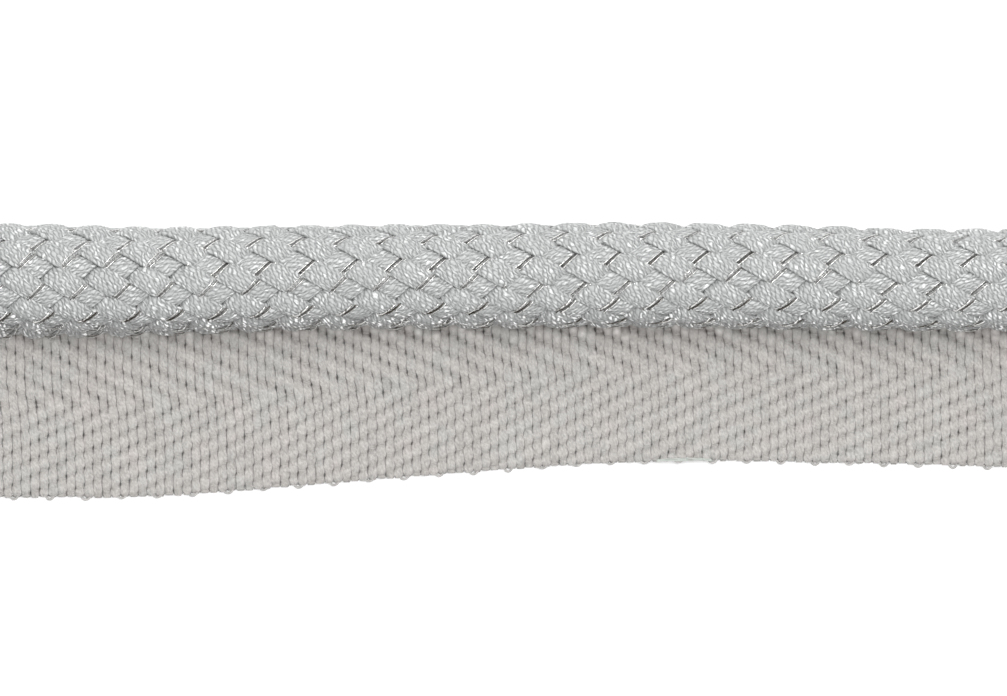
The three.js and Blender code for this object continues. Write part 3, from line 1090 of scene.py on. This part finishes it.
# Free edge: the yarns across the tape turn back there, and every fourth turn stands out as a loop
LOOP_COLUMNS = 4
LOOP_HALF_WIDTH = 0.40
LOOP_PROUD = 0.20
LOOP_SHARES = {"width": (0.9, 1.15), "proud": (0.6, 1.3)}  # of these, at random
LOOP_ROOT = 0.25
LOOP_RADIUS = 0.11
LOOP_HEIGHT = 0.42
LOOP_ARCH = 0.06
LOOP_SECTIONS = 11
TURNED_THREADS = 6
TURNED_SPAN = (14.6, 19.9)
TURNED_RADIUS = 0.075
TURNED_SPREAD = 0.62
TURNED_SECTIONS = 41
TURNED_HEIGHT = 0.72
TURNED_LIFT = 0.8  # of the lift of the tape there
TURNED_TAPER = 0.6
TURNED_OUT = 0.02
TURNED_SWAY = (0.03, 2.1)  # sideways, and radians for each mm
TURNED_RISE = (0.05, 1.7)


def section_rings(path, side, radius):
    """Rings round a path that lies flat. side is a unit vector at each of its places."""
    turns = turns_round(SMALL_SECTION)[:, None]
    up = np.array([0.0, 0.0, 1.0])
    return path[..., None, :] + radius * (side[..., None, :] * np.cos(turns) + up * np.sin(turns))


def make_edge_loops(material):
    draw = np.random.default_rng(TAPE_SEED + 1)
    places = column_places()[1:-1:LOOP_COLUMNS]
    angle = np.linspace(0, math.pi, LOOP_SECTIONS)
    rings = []
    for x in places:
        proud = LOOP_PROUD * draw.uniform(*LOOP_SHARES["proud"])
        width = LOOP_HALF_WIDTH * draw.uniform(*LOOP_SHARES["width"])
        along = x - width * np.cos(angle)
        out = LOOP_ROOT - (LOOP_ROOT + proud) * np.sin(angle)
        height = LOOP_HEIGHT + edge_lift(x, 0.0) + LOOP_ARCH * np.sin(angle)
        path = vectors(along, free_edge(along) + out, height)
        side = vectors(np.cos(angle), np.sin(angle), 0)
        rings.append(section_rings(path, side, LOOP_RADIUS))
    piece = tube_object("tape_edge_loops", np.array(rings), material)
    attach(piece, BODY)


def make_turned_threads(material):
    """Fine pale threads that show where the free edge is turned up a little."""
    share = np.linspace(0, 1, TURNED_SECTIONS)
    x = TURNED_SPAN[0] + (TURNED_SPAN[1] - TURNED_SPAN[0]) * share
    rings = []
    for number in range(TURNED_THREADS):
        lane = (number + 0.5) / TURNED_THREADS
        swell = np.sin(math.pi * share) ** TURNED_TAPER
        sway = TURNED_SWAY[0] * np.sin(x * TURNED_SWAY[1] + number)
        rise = TURNED_RISE[0] * np.sin(x * TURNED_RISE[1] + 2 * number)
        y = free_edge(x) - TURNED_OUT + lane * TURNED_SPREAD * swell + sway
        z = TURNED_HEIGHT + TURNED_LIFT * edge_lift(x, lane * TURNED_SPREAD) + rise
        side = np.array([[0.0, -1.0, 0.0]])
        rings.append(section_rings(vectors(x, y, z), side, TURNED_RADIUS))
    piece = tube_object("tape_turned_threads", np.array(rings), material)
    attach(piece, BODY)


GROUND_STEP = 1.0
GROUND_INSET = 0.1
GROUND_SHARES = (0, 0.015, 0.04, 0.1, 0.25, 0.4, 0.55, 0.7, 0.85, 1)


def make_ground(material):
    """The sheet itself, below the yarns."""
    x = places_along(GROUND_STEP)[:, None]
    share = np.array(GROUND_SHARES)[None, :]
    width = TAPE_TOP_EDGE - free_edge(x) - GROUND_INSET
    from_edge = GROUND_INSET + share * width
    y = free_edge(x) + from_edge
    lift = edge_lift(x, from_edge)
    top = GROUND_TOP - tape_thinning(from_edge) + lift
    rings = np.concatenate([vectors(x, y, lift)[:, ::-1], vectors(x, y, top)], axis=1)[:, ::-1]
    piece = tube_object("tape_ground", rings[None], material)
    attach(piece, BODY)
    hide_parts("flange_tape")


# Camera straight above, with the photograph's frame, and a plain studio

FRAME_WIDTH = 95.665  # the picture's width at the height of the axis
FRAME_MIDDLE = (0.0, 1.235)
LENS = 400.0
SENSOR = 36.0
CLIP = (0.01, 20.0)  # metres, as are the lights' places and sizes
SKY = (0.05, 1.1)  # brightness at the horizon and up to the top
SKY_CLIMB = (0.0, 0.8)  # between which heights it climbs
LIGHTS = {  # place, size and watts
    "key": ((0.04, 0.11, 0.6), (0.3, 0.3), 2.65),
    "back": ((0.0, 0.6, 0.16), (0.6, 0.2), 1.2),
    "front": ((0.0, -0.5, 0.26), (0.6, 0.2), 0.5),
}
FLOOR_HALF = 1500.0
FLOOR_DROP = 0.02


def make_camera():
    camera = bpy.data.cameras.new("camera")
    camera.lens = LENS
    camera.sensor_width = SENSOR
    camera.clip_start, camera.clip_end = CLIP
    distance = LENS / SENSOR * FRAME_WIDTH
    place = Vector((*FRAME_MIDDLE, AXIS_HEIGHT + distance)) * MM
    bpy.context.scene.camera = add_object("camera", camera, place)


def area_light(name, place, size, power):
    light = bpy.data.lights.new(name, "AREA")
    light.shape = "RECTANGLE"
    light.size, light.size_y = size
    light.energy = power
    holder = add_object(name, light, place)
    holder.rotation_euler = (-Vector(place)).to_track_quat("-Z", "Y").to_euler()
    holder.visible_camera = False


def make_studio():
    n = Nodes("studio", "worlds", "Background")
    _, _, height = n.split(n.node("ShaderNodeTexCoord").outputs["Generated"])
    brightness = n.span(height, *SKY_CLIMB, *SKY)
    bpy.context.scene.world = n.finish(Color=(1.0, 1.0, 1.0, 1.0), Strength=brightness)
    for name, (place, size, power) in LIGHTS.items():
        area_light(name, place, size, power)
    bpy.context.scene.view_settings.view_transform = "Standard"


def make_floor(material):
    corners = FLOOR_HALF * np.array([(-1, -1, 0), (1, -1, 0), (1, 1, 0), (-1, 1, 0)])
    corners[:, 2] = -FLOOR_DROP
    no_tris = np.zeros((0, 3), int)
    floor = mesh_object("floor", corners, np.array([[0, 1, 2, 3]]), no_tris, material)


make_camera()
yarn = yarn_material()
make_braid(yarn)
make_inside(inside_shade_and_filling_material())
make_foil(foil_material())
cloth = cloth_material()
make_cross_yarns(cloth)
make_floats(cloth)
make_edge_loops(edge_material("tape_edge_yarn", *EDGE_YARN))
make_turned_threads(edge_material("tape_turned_yarn", *TURNED_YARN))
make_ground(sheet_material())
make_floor(floor_material())
make_studio()
